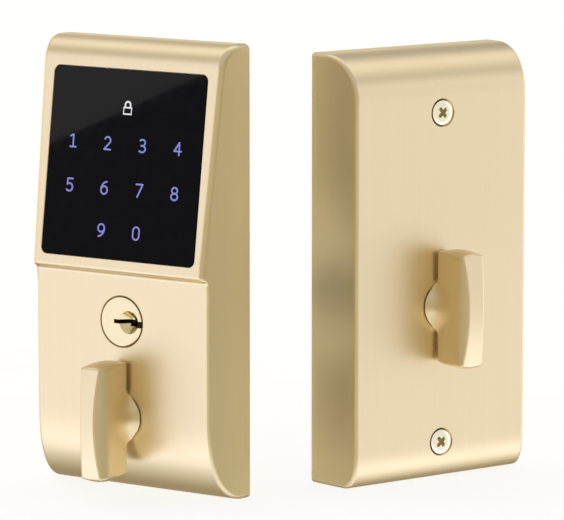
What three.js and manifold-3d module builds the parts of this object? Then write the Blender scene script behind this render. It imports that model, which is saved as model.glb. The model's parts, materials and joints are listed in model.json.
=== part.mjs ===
// Keypad smart lock: the outside unit (touch keypad, key cylinder, outside turn, gear train) and the
// inside unit (battery case with the inside turn), standing side by side as they do on display.
//
// Units are millimetres. In each unit's own frame X runs to the right as seen from its front, Z runs
// up from its lowest edge, and depth is measured out from the door face along -Y.
import * as THREE from 'three';
import { mergeVertices } from 'three/addons/utils/BufferGeometryUtils.js';
import Module from 'manifold-3d';

const wasm = await Module();
wasm.setup();

// ---------------------------------------------------------------------------------------------
// Driving dimensions
// ---------------------------------------------------------------------------------------------
const GAP = 0.3; // clearance kept between neighbouring pieces
const ROUND = 20; // sides of an ordinary round piece
const SMALL_ROUND = 12; // sides of a small round piece
const WALL = 2.6; // wall of both cast housings

const OUTER = {
  height: 163.8,
  halfWidth: 41.15, // at the door face
  draft: 0.16, // how fast each side leans in with depth
  topRadius: 9.6,
  lipDepth: 24.8, // where the keypad face overhangs the lower face
  lipZ: 82.6,
  lipRadius: 1.4,
  faceSlope: 0.138, // the keypad face leans back by this much per mm of height
  lowerDepth: 21.4, // depth of the face under the keypad
  bottomFlat: 2.5,
  bottomRise: 30, // height of the elliptical sweep at the bottom
  turnZ: 28.5,
  cylinderZ: 63.1,
};
const INNER = {
  height: 158,
  halfWidth: 41.55,
  draft: 0.1,
  depth: 24,
  topRadius: 16.8,
  bottomFlat: 16.5,
  bottomRise: 17,
  turnZ: 64.6,
  screwZ: [135.4, 13.9],
};
const GLASS = { width: 67.7, height: 68, corner: 2.3, thickness: 2, centreZ: 119.6 };
const PLATE = { back: 0.9, front: 2.4, inset: 3.2 }; // back plates, just inside the housing's rim
const GASKET_FRONT = 0.6;
const GEAR = { big: 22, small: 11, back: 5, front: 9 };
const BOLT = { x: 17.5, postEnd: -24, tipEnd: -26 }; // two through bolts, either side of the cylinder
const CELL = { radius: 7.2, length: 50.5, xs: [-26.6, -11.8, 11.8, 26.6], bottomZ: 84, depth: 12.4 };

// How the two units stand: both on one floor, turned towards each other's outer side.
const OUTER_POSE = { x: -45.5, y: 1.4, turnDeg: -34.4 };
const INNER_POSE = { x: 44.1, y: 31, turnDeg: 36.8 };

// ---------------------------------------------------------------------------------------------
// Colours and finishes
// ---------------------------------------------------------------------------------------------
const finish = (color, roughness, metalness) =>
  new THREE.MeshStandardMaterial({ color, roughness, metalness });
const MATERIALS = {
  satinBrass: finish(0xe2cfa2, 0.38, 0.9),
  polishedBrass: finish(0xecd9a6, 0.2, 0.95),
  steel: finish(0xb9bbbd, 0.35, 1),
  springSteel: finish(0x9fa2a6, 0.3, 1),
  zinc: finish(0x8f9194, 0.5, 0.8),
  glass: finish(0x141216, 0.08, 0),
  rubber: finish(0x1c1c1d, 0.9, 0),
  foam: finish(0xb0aba0, 0.9, 0),
  blackPlastic: finish(0x26272a, 0.6, 0),
  clearPlastic: finish(0xd8dde6, 0.3, 0),
  board: finish(0x1f5b3a, 0.55, 0),
  cell: finish(0x3a4a5c, 0.4, 0.5),
};

// ---------------------------------------------------------------------------------------------
// Solid helpers
// ---------------------------------------------------------------------------------------------
function toSolid(geometry) {
  const bare = geometry.clone();
  bare.deleteAttribute('normal');
  bare.deleteAttribute('uv');
  const merged = mergeVertices(bare, 1e-4);
  const vertProperties = new Float32Array(merged.attributes.position.array);
  const triVerts = new Uint32Array(merged.index.array);
  return new wasm.Manifold(new wasm.Mesh({ numProp: 3, vertProperties, triVerts }));
}

function toGeometry(solid) {
  const mesh = solid.getMesh();
  const geometry = new THREE.BufferGeometry();
  geometry.setAttribute('position', new THREE.BufferAttribute(mesh.vertProperties, 3));
  geometry.setIndex(new THREE.BufferAttribute(mesh.triVerts, 1));
  return geometry;
}

const join = (first, ...others) =>
  toGeometry(others.reduce((sum, next) => sum.add(toSolid(next)), toSolid(first)));
const cut = (body, ...tools) =>
  toGeometry(tools.reduce((left, tool) => left.subtract(toSolid(tool)), toSolid(body)));
const common = (first, second) => toGeometry(toSolid(first).intersect(toSolid(second)));

// An outline made solid, with the doubled points left out where two of its curves meet.
function extrude(shape, depth, segments) {
  const points = shape.getPoints(segments);
  const clean = points.filter((point, index) => (
    point.distanceTo(points[(index + 1) % points.length]) > 1e-4
  ));
  return new THREE.ExtrudeGeometry(new THREE.Shape(clean), { depth, bevelEnabled: false });
}

// A closed outline drawn in X and Z, made solid between two depths.
const slab = (shape, back, front, segments = 4) =>
  extrude(shape, front - back, segments).rotateX(Math.PI / 2).translate(0, -back, 0);

function alongAxes(geometry, x, y, z) {
  const axes = new THREE.Matrix4().makeBasis(
    new THREE.Vector3(...x),
    new THREE.Vector3(...y),
    new THREE.Vector3(...z),
  );
  return geometry.applyMatrix4(axes);
}

// A closed side view drawn in depth and Z, made solid over a width centred on X = 0.
const sideExtrusion = (shape, halfWidth, segments = 8) =>
  alongAxes(extrude(shape, 2 * halfWidth, segments), [0, -1, 0], [0, 0, 1], [-1, 0, 0])
    .translate(halfWidth, 0, 0);

// A plan view drawn in X and depth, made solid between two heights.
const planExtrusion = (shape, bottom, top) =>
  alongAxes(extrude(shape, top - bottom, 4), [1, 0, 0], [0, -1, 0], [0, 0, -1]).translate(0, 0, top);

// A turned piece about the line (x, z) that runs along the depth: rows are [radius, depth].
function turned(rows, x = 0, z = 0, sides = ROUND) {
  const points = rows.map(([radius, depth]) => new THREE.Vector2(radius, depth));
  return new THREE.LatheGeometry(points, sides).rotateX(Math.PI).translate(x, 0, z);
}

const disc = (radius, back, front, x = 0, z = 0, sides = ROUND) =>
  turned([[0, back], [radius, back], [radius, front], [0, front]], x, z, sides);

const ring = (inner, outer, back, front, x = 0, z = 0, sides = ROUND) =>
  turned([[inner, back], [outer, back], [outer, front], [inner, front], [inner, back]], x, z, sides);

function box(x0, x1, back, front, z0, z1) {
  return new THREE.BoxGeometry(x1 - x0, front - back, z1 - z0)
    .translate((x0 + x1) / 2, -(back + front) / 2, (z0 + z1) / 2);
}

function roundedRectangle(halfWidth, bottom, top, radius) {
  const shape = new THREE.Shape();
  shape.absarc(halfWidth - radius, bottom + radius, radius, -Math.PI / 2, 0);
  shape.absarc(halfWidth - radius, top - radius, radius, 0, Math.PI / 2);
  shape.absarc(-halfWidth + radius, top - radius, radius, Math.PI / 2, Math.PI);
  shape.absarc(-halfWidth + radius, bottom + radius, radius, Math.PI, 1.5 * Math.PI);
  shape.closePath();
  return shape;
}

function piece(group, name, geometry, material) {
  const mesh = new THREE.Mesh(geometry, material);
  mesh.name = name;
  group.add(mesh);
  return mesh;
}

// ---------------------------------------------------------------------------------------------
// Housings: a side view met by a plan view, hollowed from the back
// ---------------------------------------------------------------------------------------------
const keypadDepth = (z) => OUTER.lipDepth - (z - OUTER.lipZ) * OUTER.faceSlope;

function outerSideView(wall) {
  const { height, topRadius, lipDepth, lipZ, lipRadius, lowerDepth } = OUTER;
  const { bottomFlat, bottomRise } = OUTER;
  const tilt = Math.atan(OUTER.faceSlope);
  const back = wall ? -1 : 0;
  const face = lowerDepth - wall;
  const sweep = lipDepth - lipRadius - lowerDepth;
  const underLip = lipZ - lipRadius;
  const shape = new THREE.Shape();
  shape.moveTo(back, wall);
  shape.lineTo(bottomFlat, wall);
  shape.absellipse(bottomFlat, bottomRise, face - bottomFlat, bottomRise - wall, -Math.PI / 2, 0);
  if (wall) {
    shape.lineTo(face, lipZ - 4);
    shape.lineTo(keypadDepth(lipZ) - wall - 1.8, lipZ + 1);
  } else {
    shape.absarc(face + sweep, underLip - sweep, sweep, Math.PI, Math.PI / 2, true);
    shape.absarc(lipDepth - lipRadius, lipZ, lipRadius, -Math.PI / 2, tilt);
  }
  const arcCentreZ = height - topRadius;
  const arcDepth = keypadDepth(arcCentreZ + topRadius * Math.sin(tilt));
  const centreDepth = arcDepth - topRadius * Math.cos(tilt) - wall * 0.7;
  shape.absarc(centreDepth, arcCentreZ, topRadius - wall, tilt, Math.PI / 2);
  shape.lineTo(back, height - wall);
  shape.closePath();
  return shape;
}

function innerSideView(wall) {
  const { height, depth, topRadius, bottomFlat, bottomRise } = INNER;
  const back = wall ? -1 : 0;
  const face = depth - wall;
  const shape = new THREE.Shape();
  shape.moveTo(back, wall);
  shape.lineTo(bottomFlat, wall);
  shape.absellipse(bottomFlat, bottomRise, face - bottomFlat, bottomRise - wall, -Math.PI / 2, 0);
  shape.absarc(depth - topRadius, height - topRadius, topRadius - wall, 0, Math.PI / 2);
  shape.lineTo(back, height - wall);
  shape.closePath();
  return shape;
}

// Drafted sides, slightly bowed, with a small radius where they meet the front.
function planView(unit, depth, wall) {
  const start = unit.halfWidth - wall;
  const end = start - unit.draft * depth;
  const bow = 0.35;
  const edge = 1.6;
  const back = wall ? -1 : 0;
  const shape = new THREE.Shape();
  shape.moveTo(-start, back);
  shape.lineTo(start, back);
  shape.quadraticCurveTo((start + end) / 2 + bow, depth / 2, end, depth - edge);
  shape.quadraticCurveTo(end - 0.2, depth, end - edge, depth);
  shape.lineTo(-end + edge, depth);
  shape.quadraticCurveTo(-end + 0.2, depth, -end, depth - edge);
  shape.quadraticCurveTo(-(start + end) / 2 - bow, depth / 2, -start, back);
  return shape;
}

function outerBlank(wall) {
  const side = sideExtrusion(outerSideView(wall), OUTER.halfWidth + 2);
  const plan = planExtrusion(planView(OUTER, OUTER.lipDepth + 0.5 - wall / 2, wall), -1, OUTER.height + 1);
  return common(side, plan);
}

function innerBlank(wall) {
  const side = sideExtrusion(innerSideView(wall), INNER.halfWidth + 2);
  const plan = planExtrusion(planView(INNER, INNER.depth + 0.01 - wall, wall), -1, INNER.height + 1);
  return common(side, plan);
}

// ---------------------------------------------------------------------------------------------
// Thumb turn: a bar with a bowed front and crowned ends on a flared hub. Its depths are measured from
// the face behind it, the cover.
// ---------------------------------------------------------------------------------------------
const TURN = {
  halfLength: 20,
  endCrown: 1.6, // how much longer the bar is along its middle
  rearHalf: 3.2,
  ridgeHalf: 5.2,
  rearDepth: 1.3,
  ridgeDepth: 16.3,
  chamfer: 0.55, // narrowing per mm of depth in front of the ridge
  bulge: 2.2,
  hubRadius: 8.7,
  hubDepth: 9,
  socketRadius: 3.9,
  socketDepth: 5,
};

function turnSolid(cover, z, endDepth) {
  const { halfLength, endCrown, rearHalf, ridgeHalf, bulge, hubRadius, hubDepth } = TURN;
  const rear = cover + TURN.rearDepth;
  const ridge = cover + TURN.ridgeDepth;
  const ends = cover + endDepth;
  const crown = ends + bulge;
  const frontHalf = ridgeHalf - (crown - ridge) * TURN.chamfer;
  const plan = new THREE.Shape();
  plan.moveTo(-rearHalf, rear);
  plan.lineTo(rearHalf, rear);
  plan.quadraticCurveTo(ridgeHalf, ridge - 8, ridgeHalf, ridge);
  plan.lineTo(frontHalf, crown);
  plan.lineTo(-frontHalf, crown);
  plan.lineTo(-ridgeHalf, ridge);
  plan.quadraticCurveTo(-ridgeHalf, ridge - 8, -rearHalf, rear);
  const side = new THREE.Shape();
  side.moveTo(rear, z - halfLength - endCrown);
  side.lineTo(ends, z - halfLength);
  side.quadraticCurveTo(crown + bulge, z, ends, z + halfLength);
  side.lineTo(rear, z + halfLength + endCrown);
  side.closePath();
  const front = new THREE.Shape();
  front.moveTo(-ridgeHalf - 1, z - halfLength + 0.6);
  front.quadraticCurveTo(0, z - halfLength - 2 * endCrown, ridgeHalf + 1, z - halfLength + 0.6);
  front.lineTo(ridgeHalf + 1, z + halfLength - 0.6);
  front.quadraticCurveTo(0, z + halfLength + 2 * endCrown, -ridgeHalf - 1, z + halfLength - 0.6);
  front.closePath();
  const reach = halfLength + 2 * endCrown;
  const outline = common(planExtrusion(plan, z - reach, z + reach), sideExtrusion(side, ridgeHalf + 1, 10));
  const bar = common(outline, slab(front, rear - 1, crown + 1, 6));
  const hub = turned([
    [0, cover + 0.4],
    [hubRadius, cover + 0.4],
    [hubRadius, cover + 1.2],
    [hubRadius - 1.4, cover + 2.6],
    [hubRadius - 3.2, cover + 5.2],
    [hubRadius - 4.6, cover + hubDepth],
    [0, cover + hubDepth + 3],
  ], 0, z);
  const socket = disc(TURN.socketRadius, cover - 1, cover + TURN.socketDepth, 0, z);
  return cut(join(bar, hub), socket);
}

// ---------------------------------------------------------------------------------------------
// Gears: involute teeth, 25 degree pressure angle, with a little backlash
// ---------------------------------------------------------------------------------------------
const GEAR_MODULE = (OUTER.cylinderZ - OUTER.turnZ) / (GEAR.big + GEAR.small);
const IDLER_Z = OUTER.turnZ + GEAR_MODULE * (GEAR.big + GEAR.small) / 2;

function gearOutline(teeth, toothAngle) {
  const pressure = THREE.MathUtils.degToRad(25);
  const pitchRadius = GEAR_MODULE * teeth / 2;
  const base = pitchRadius * Math.cos(pressure);
  const root = pitchRadius - 1.05 * GEAR_MODULE;
  const tip = pitchRadius + 0.8 * GEAR_MODULE;
  const backlash = 0.14;
  const involute = (angle) => Math.tan(angle) - angle;
  const halfTooth = (Math.PI * GEAR_MODULE / 2 - backlash) / (2 * pitchRadius) + involute(pressure);
  const first = Math.max(base, root) + 1e-3;
  const steps = 2;
  const flank = [];
  for (let step = 0; step <= steps; step += 1) {
    const radius = first + (tip - first) * step / steps;
    flank.push({ radius, half: halfTooth - involute(Math.acos(base / radius)) });
  }
  if (root < first - 0.2) {
    flank.unshift({ radius: root, half: flank[0].half });
  }
  const polar = (radius, angle) => new THREE.Vector2(radius * Math.cos(angle), radius * Math.sin(angle));
  const points = [];
  for (let tooth = 0; tooth < teeth; tooth += 1) {
    const centre = toothAngle + 2 * Math.PI * tooth / teeth;
    flank.forEach(({ radius, half }) => points.push(polar(radius, centre - half)));
    [...flank].reverse().forEach(({ radius, half }) => points.push(polar(radius, centre + half)));
  }
  return new THREE.Shape(points);
}

function gear(teeth, toothAngle, bore, z) {
  const blank = slab(gearOutline(teeth, toothAngle), GEAR.back, GEAR.front).translate(0, 0, z);
  return cut(blank, disc(bore, GEAR.back - 1, GEAR.front + 1, 0, z));
}

// ---------------------------------------------------------------------------------------------
// Screws
// ---------------------------------------------------------------------------------------------
function crossRecess(face, size, x, z) {
  const half = size / 2;
  const arm = size / 9;
  return [
    box(x - half, x + half, face - 1.3, face + 1, z - arm, z + arm),
    box(x - arm, x + arm, face - 1.3, face + 1, z - half, z + half),
  ];
}

function countersunkScrew(face, headRadius, shankRadius, length, x, z) {
  const head = turned([
    [0, face - length],
    [shankRadius, face - length],
    [shankRadius, face - headRadius + shankRadius],
    [headRadius, face - 0.2],
    [headRadius, face],
    [0, face],
  ], x, z, headRadius > 3 ? ROUND : SMALL_ROUND);
  return cut(head, ...crossRecess(face, headRadius * 1.1, x, z));
}

// The same screw turned round, with its head at the back.
function plateScrew(x, z) {
  const back = PLATE.back + 0.1;
  return turned([
    [0, back],
    [2.6, back],
    [2.6, back + 0.2],
    [1.2, back + 1.6],
    [1.2, back + 8],
    [0, back + 8],
  ], x, z, SMALL_ROUND);
}

const plateScrewHole = (x, z) =>
  turned([
    [0, PLATE.back - 1],
    [2.9, PLATE.back - 1],
    [2.9, PLATE.back + 0.35],
    [1.5, PLATE.back + 1.9],
    [1.5, PLATE.back + 10],
    [0, PLATE.back + 10],
  ], x, z, SMALL_ROUND);

// ---------------------------------------------------------------------------------------------
// Outside unit
// ---------------------------------------------------------------------------------------------
const outer = new THREE.Group();
outer.position.set(OUTER_POSE.x, OUTER_POSE.y, 0);
outer.rotation.z = THREE.MathUtils.degToRad(OUTER_POSE.turnDeg);

const keypadTilt = Math.atan(OUTER.faceSlope);
const keypad = new THREE.Group();
keypad.position.set(0, -keypadDepth(GLASS.centreZ), GLASS.centreZ);
keypad.rotation.x = -keypadTilt;
outer.add(keypad);

const KEYPAD = {
  seatDepth: 3.2,
  ledge: 5.4,
  openingHalf: 28,
  boardHalf: 32.8,
  screwSpot: 30.6,
};
const plateScrewSpots = [-1, 1].flatMap((side) => [16, 156.5].map((z) => [side * 33.2, z]));

// A cutter made in the keypad's own frame, moved into the unit's frame.
const inUnit = (geometry) => {
  keypad.updateMatrix();
  return geometry.applyMatrix4(keypad.matrix);
};

function buildOuterHousing() {
  const posts = plateScrewSpots.map(([x, z]) => {
    const post = join(disc(3.6, 2.7, 30, x, z, SMALL_ROUND), box(
      Math.min(x, x + Math.sign(x) * 8), Math.max(x, x + Math.sign(x) * 8), 2.7, 30, z - 2.4, z + 2.4,
    ));
    return post;
  });
  const rim = GLASS.height / 2 + 2.5;
  const ledgeBlock = inUnit(box(-GLASS.width / 2 - 9, GLASS.width / 2 + 9, -KEYPAD.ledge, 9, -rim, rim));
  const hollow = cut(outerBlank(WALL), ...posts, ledgeBlock);
  const seatHalf = GLASS.width / 2 + GAP;
  const seatTop = GLASS.height / 2 + GAP;
  const seat = slab(roundedRectangle(seatHalf, -seatTop, seatTop, GLASS.corner), -KEYPAD.seatDepth, 5);
  const half = KEYPAD.openingHalf;
  const opening = slab(roundedRectangle(half, -half, half, 2), -12, 5);
  const boardScrewHoles = [-1, 1].flatMap((sx) => [-1, 1].map((sz) => (
    disc(1.1, -12, -KEYPAD.ledge + 1.6, sx * KEYPAD.screwSpot, sz * KEYPAD.screwSpot, SMALL_ROUND)
  )));
  return cut(
    outerBlank(0),
    hollow,
    inUnit(seat),
    inUnit(opening),
    ...boardScrewHoles.map(inUnit),
    disc(9.35, 10, 30, 0, OUTER.cylinderZ, 32),
    disc(5.8, 10, 30, 0, OUTER.turnZ),
    ...plateScrewSpots.map(([x, z]) => disc(1.5, -1, 11, x, z, SMALL_ROUND)),
  );
}

function buildKeypad() {
  const glassTop = GLASS.height / 2;
  const glassShape = roundedRectangle(GLASS.width / 2, -glassTop, glassTop, GLASS.corner - GAP);
  piece(keypad, 'touchscreen_glass', slab(glassShape, -GLASS.thickness, 0), MATERIALS.glass);

  const sealOuter = slab(roundedRectangle(GLASS.width / 2, -glassTop, glassTop, 2), -2.9, -2.3);
  const sealInner = slab(roundedRectangle(28.5, -28.5, 28.5, 2), -4, 0);
  piece(keypad, 'keypad_seal', cut(sealOuter, sealInner), MATERIALS.rubber);

  piece(keypad, 'light_guide', slab(roundedRectangle(27.6, -27.6, 27.6, 1.6), -4.3, -2.3), MATERIALS.clearPlastic);

  const half = KEYPAD.boardHalf;
  const screwSpots = [-1, 1].flatMap((sx) => [-1, 1].map((sz) => [sx * KEYPAD.screwSpot, sz * KEYPAD.screwSpot]));
  const screwHoles = screwSpots.map(([x, z]) => disc(1.3, -12, 0, x, z, SMALL_ROUND));
  const board = slab(roundedRectangle(half, -half, half, 1.5), -KEYPAD.ledge - 1.9, -KEYPAD.ledge - 0.3);
  piece(keypad, 'touch_board', cut(board, ...screwHoles), MATERIALS.board);

  const carrierShape = roundedRectangle(half, -half, half, 1.5);
  const carrier = slab(carrierShape, -KEYPAD.ledge - 3.4, -KEYPAD.ledge - 2.2);
  const carrierWindow = slab(roundedRectangle(23, -23, 23, 2), -12, 0);
  piece(keypad, 'board_carrier', cut(carrier, carrierWindow, ...screwHoles), MATERIALS.blackPlastic);

  screwSpots.forEach(([x, z], index) => {
    const head = -KEYPAD.ledge - 3.7;
    const screw = turned([
      [0, head - 1],
      [1.9, head - 1],
      [1.9, head],
      [0.8, head],
      [0.8, -KEYPAD.ledge + 1.2],
      [0, -KEYPAD.ledge + 1.2],
    ], x, z, SMALL_ROUND);
    piece(keypad, `board_screw_${index + 1}`, screw, MATERIALS.steel);
  });
}

function buildCylinder() {
  const z = OUTER.cylinderZ;
  const faceFront = OUTER.lowerDepth + 0.1;
  const shellFront = faceFront - 1.9;
  const shell = ring(6.5, 8.4, -6, shellFront, 0, z);
  piece(outer, 'cylinder_shell', shell, MATERIALS.polishedBrass);

  const plug = turned([
    [0, -7],
    [6.2, -7],
    [6.2, shellFront + GAP],
    [9.05, shellFront + GAP],
    [9.05, faceFront - 0.25],
    [8.8, faceFront],
    [0, faceFront],
  ], 0, z, 32);
  const keyway = box(-3.3, 12, faceFront - 22, faceFront + 1, z - 0.75, z + 0.75);
  const wideKeyway = box(2.2, 12, faceFront - 22, faceFront + 1, z - 1.7, z + 0.7);
  const dimple = turned([[0, faceFront - 1.3], [1.6, faceFront - 1.3], [4.2, faceFront + 0.05],
    [4.2, faceFront + 1], [0, faceFront + 1]], 3.3, z);
  piece(outer, 'key_plug', cut(plug, keyway, wideKeyway, dimple), MATERIALS.polishedBrass);

  const cam = join(disc(5.6, -9, -7.3, 0, z), box(-8, 8, -9, -7.3, z - 2, z + 2));
  piece(outer, 'plug_cam', cam, MATERIALS.steel);

  const nut = cut(disc(12.2, 15.4, 18.4, 0, z, 6), disc(8.8, 15, 19, 0, z));
  piece(outer, 'cylinder_nut', nut, MATERIALS.zinc);
}

function buildTurnAndGears() {
  const { turnZ, cylinderZ, lowerDepth } = OUTER;
  piece(outer, 'outside_turn', turnSolid(lowerDepth, turnZ, 19), MATERIALS.satinBrass);
  piece(outer, 'outside_spindle', disc(3.6, 3.2, lowerDepth + TURN.socketDepth - GAP, 0, turnZ), MATERIALS.steel);
  piece(outer, 'outside_bushing', ring(3.9, 5.5, 15.5, lowerDepth, 0, turnZ), MATERIALS.blackPlastic);
  piece(outer, 'spindle_clip', ring(3.9, 6.2, 3.8, 4.6, 0, turnZ, SMALL_ROUND), MATERIALS.springSteel);

  piece(outer, 'turn_gear', gear(GEAR.big, Math.PI / 2, 3.9, turnZ), MATERIALS.steel);
  piece(outer, 'idler_gear', gear(GEAR.small, Math.PI / 2, 2.2, IDLER_Z), MATERIALS.steel);
  piece(outer, 'idler_pin', disc(1.95, 4.4, 10, 0, IDLER_Z, SMALL_ROUND), MATERIALS.steel);

  const hubGear = gear(GEAR.big, Math.PI / GEAR.big - Math.PI / 2, 8.7, cylinderZ);
  const cup = turned([[8.7, GEAR.back + 0.5], [9.7, GEAR.back + 0.5], [9.7, -12], [2.5, -12],
    [2.5, -10.4], [8.7, -10.4], [8.7, GEAR.back + 0.5]].reverse(), 0, cylinderZ);
  piece(outer, 'tail_hub', join(hubGear, cup), MATERIALS.steel);
  const tailpiece = join(
    disc(6, -13.6, -12.3, 0, cylinderZ),
    box(-3.2, 3.2, -38, -13, cylinderZ - 0.8, cylinderZ + 0.8),
  );
  piece(outer, 'tailpiece', tailpiece, MATERIALS.steel);

  const plateShape = roundedRectangle(12, turnZ - 9, cylinderZ - 10, 2);
  const legs = [-1, 1].map((side) => disc(2.2, 10.8, 18.5, side * 9, IDLER_Z + 3, SMALL_ROUND));
  const plate = cut(slab(plateShape, 10.3, 11.5), disc(4.2, 5, 16, 0, turnZ), disc(9, 5, 16, 0, cylinderZ));
  piece(outer, 'gear_plate', join(plate, ...legs), MATERIALS.zinc);
}

const CLUTCH = { x: 18, z: OUTER.turnZ, depth: 9.5 };

function alongX(radius, x0, x1, depth, z) {
  return new THREE.CylinderGeometry(radius, radius, x1 - x0, SMALL_ROUND)
    .rotateZ(Math.PI / 2)
    .translate((x0 + x1) / 2, -depth, z);
}

function buildClutch() {
  const { x, z, depth } = CLUTCH;
  const body = cut(
    box(x, x + 15, depth - 4.5, depth + 4.5, z - 6, z + 6),
    alongX(2.3, x - 1, x + 11, depth, z),
  );
  piece(outer, 'clutch_solenoid', body, MATERIALS.zinc);
  const plunger = join(alongX(2, x - 2, x + 7, depth, z), alongX(1.2, x - 2.6, x - 1, depth, z));
  piece(outer, 'clutch_plunger', plunger, MATERIALS.steel);
}

function buildOuterBack() {
  const { height, cylinderZ } = OUTER;
  const half = OUTER.halfWidth - PLATE.inset;
  const shape = () => roundedRectangle(half, PLATE.inset + 1, height - PLATE.inset, 2);
  const socketCut = box(10.7, 21.3, -3, 6, 88.7, 97.3);
  const posts = [-BOLT.x, BOLT.x];
  const plate = cut(
    slab(shape(), PLATE.back, PLATE.front),
    disc(10.3, -3, 6, 0, cylinderZ),
    ...posts.map((x) => disc(4.3, -3, 6, x, cylinderZ)),
    ...plateScrewSpots.map(([x, z]) => plateScrewHole(x, z)),
    socketCut,
  );
  piece(outer, 'outer_back_plate', plate, MATERIALS.steel);

  const gasket = cut(
    slab(shape(), 0, GASKET_FRONT),
    slab(roundedRectangle(25.5, cylinderZ - 25.5, cylinderZ + 37, 10), -1, 2),
  );
  piece(outer, 'outer_gasket', gasket, MATERIALS.foam);

  plateScrewSpots.forEach(([x, z], index) => {
    piece(outer, `plate_screw_${index + 1}`, plateScrew(x, z), MATERIALS.steel);
  });

  posts.forEach((x, index) => {
    const post = turned([[0, -6], [2.2, -6], [2.2, BOLT.postEnd], [4, BOLT.postEnd], [4, 2.7], [5.6, 2.7],
      [5.6, 4.2], [0, 4.2]], x, cylinderZ);
    piece(outer, `bolt_post_${index + 1}`, post, MATERIALS.steel);
  });

  const socket = cut(box(11, 21, 1.2, 6, 89, 97), box(12.2, 19.8, 0, 4.4, 90.2, 95.8));
  piece(outer, 'outer_cable_socket', socket, MATERIALS.blackPlastic);
}

piece(outer, 'outer_housing', buildOuterHousing(), MATERIALS.satinBrass);
buildKeypad();
buildCylinder();
buildTurnAndGears();
buildClutch();
buildOuterBack();

// ---------------------------------------------------------------------------------------------
// Inside unit
// ---------------------------------------------------------------------------------------------
const inner = new THREE.Group();
inner.position.set(INNER_POSE.x, INNER_POSE.y, 0);
inner.rotation.z = THREE.MathUtils.degToRad(INNER_POSE.turnDeg);

function buildInnerHousing() {
  const face = INNER.depth;
  const screwSeats = INNER.screwZ.map((z) => turned([
    [0, face - 8],
    [2.5, face - 8],
    [2.5, face - 3.2],
    [5.2, face - 0.3],
    [5.2, face + 1],
    [0, face + 1],
  ], 0, z));
  const bosses = INNER.screwZ.map((z) => disc(4.2, face - 6.5, face + 2, 0, z));
  const hollow = cut(innerBlank(WALL), ...bosses);
  return cut(innerBlank(0), hollow, ...screwSeats, disc(5.8, 10, 30, 0, INNER.turnZ));
}

function buildInnerTurn() {
  const { depth, turnZ } = INNER;
  piece(inner, 'inside_turn', turnSolid(depth, turnZ, 17.9), MATERIALS.satinBrass);
  piece(inner, 'inside_spindle', disc(3.6, 6.9, depth + TURN.socketDepth - GAP, 0, turnZ), MATERIALS.steel);
  piece(inner, 'inside_bushing', ring(3.9, 5.5, 18, depth, 0, turnZ), MATERIALS.blackPlastic);
  piece(inner, 'inside_clip', ring(3.9, 6.2, 16.4, 17.2, 0, turnZ, SMALL_ROUND), MATERIALS.springSteel);
  const drive = cut(
    turned([[0, -2], [5, -2], [5, 3.2], [7.4, 3.2], [7.4, 6.6], [0, 6.6]], 0, turnZ),
    box(-3.8, 3.8, -3, 4, turnZ - 1.1, turnZ + 1.1),
    box(-1.1, 1.1, -3, 4, turnZ - 3.8, turnZ + 3.8),
  );
  piece(inner, 'inside_drive', drive, MATERIALS.steel);
}

function buildBatteries() {
  const { radius, length, xs, bottomZ, depth } = CELL;
  const topZ = bottomZ + length;
  const trayBottom = bottomZ - 3;
  const trayTop = topZ + 7.5;
  const floor = box(-35, 35, 3, 4.4, trayBottom, trayTop);
  const walls = [
    box(-35, 35, 3, 15, trayBottom, trayBottom + 1.5),
    box(-35, 35, 3, 15, trayTop - 1.5, trayTop),
  ];
  const postHole = disc(4.1, 0, 20, 0, INNER.screwZ[0]);
  piece(inner, 'battery_tray', cut(join(floor, ...walls), postHole), MATERIALS.blackPlastic);

  const contact = (z) => box(-34, 34, 5, 14, z, z + 0.5);
  piece(inner, 'battery_contact_bottom', contact(bottomZ - 1.2), MATERIALS.springSteel);
  const contactZ = trayTop - 2.3;
  const springLength = contactZ - topZ - GAP;
  const springs = xs.map((x) => (
    new THREE.CylinderGeometry(1.4, 3, springLength, SMALL_ROUND)
      .rotateX(-Math.PI / 2)
      .translate(x, -depth + 2, contactZ + 0.1 - springLength / 2)
  ));
  piece(inner, 'battery_contact_top', join(contact(contactZ), ...springs), MATERIALS.springSteel);

  const profile = [[0, 0], [radius, 0], [radius, length - 1.2], [2.6, length - 1.2], [2.6, length], [0, length]];
  xs.forEach((x, index) => {
    const cell = new THREE.LatheGeometry(profile.map((row) => new THREE.Vector2(...row)), ROUND)
      .rotateX(Math.PI / 2)
      .translate(x, -depth, bottomZ);
    piece(inner, `battery_${index + 1}`, cell, MATERIALS.cell);
  });
}

function buildElectronics() {
  const { turnZ } = INNER;
  piece(inner, 'control_board', box(-30, 30, 7, 8.6, 21, turnZ - 14), MATERIALS.board);
  const buzzer = ring(1, 6, 8.9, 13.5, -18, 34, 20);
  piece(inner, 'buzzer', buzzer, MATERIALS.blackPlastic);
  const header = cut(box(11, 21, 9, 15, 28, 44), box(12.2, 19.8, 11, 16, 29.2, 42.8));
  piece(inner, 'inner_cable_header', header, MATERIALS.blackPlastic);
}

function buildCoverScrews() {
  ['cover_screw_top', 'cover_screw_bottom'].forEach((name, index) => {
    const z = INNER.screwZ[index];
    const screw = countersunkScrew(INNER.depth, 4.9, 2, 16, 0, z);
    piece(inner, name, screw, MATERIALS.polishedBrass);
    const post = turned([[0, 6], [2.3, 6], [2.3, 17], [3.8, 17], [3.8, 2.7], [0, 2.7]].reverse(), 0, z);
    piece(inner, name.replace('screw', 'post'), post, MATERIALS.steel);
  });
}

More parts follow.
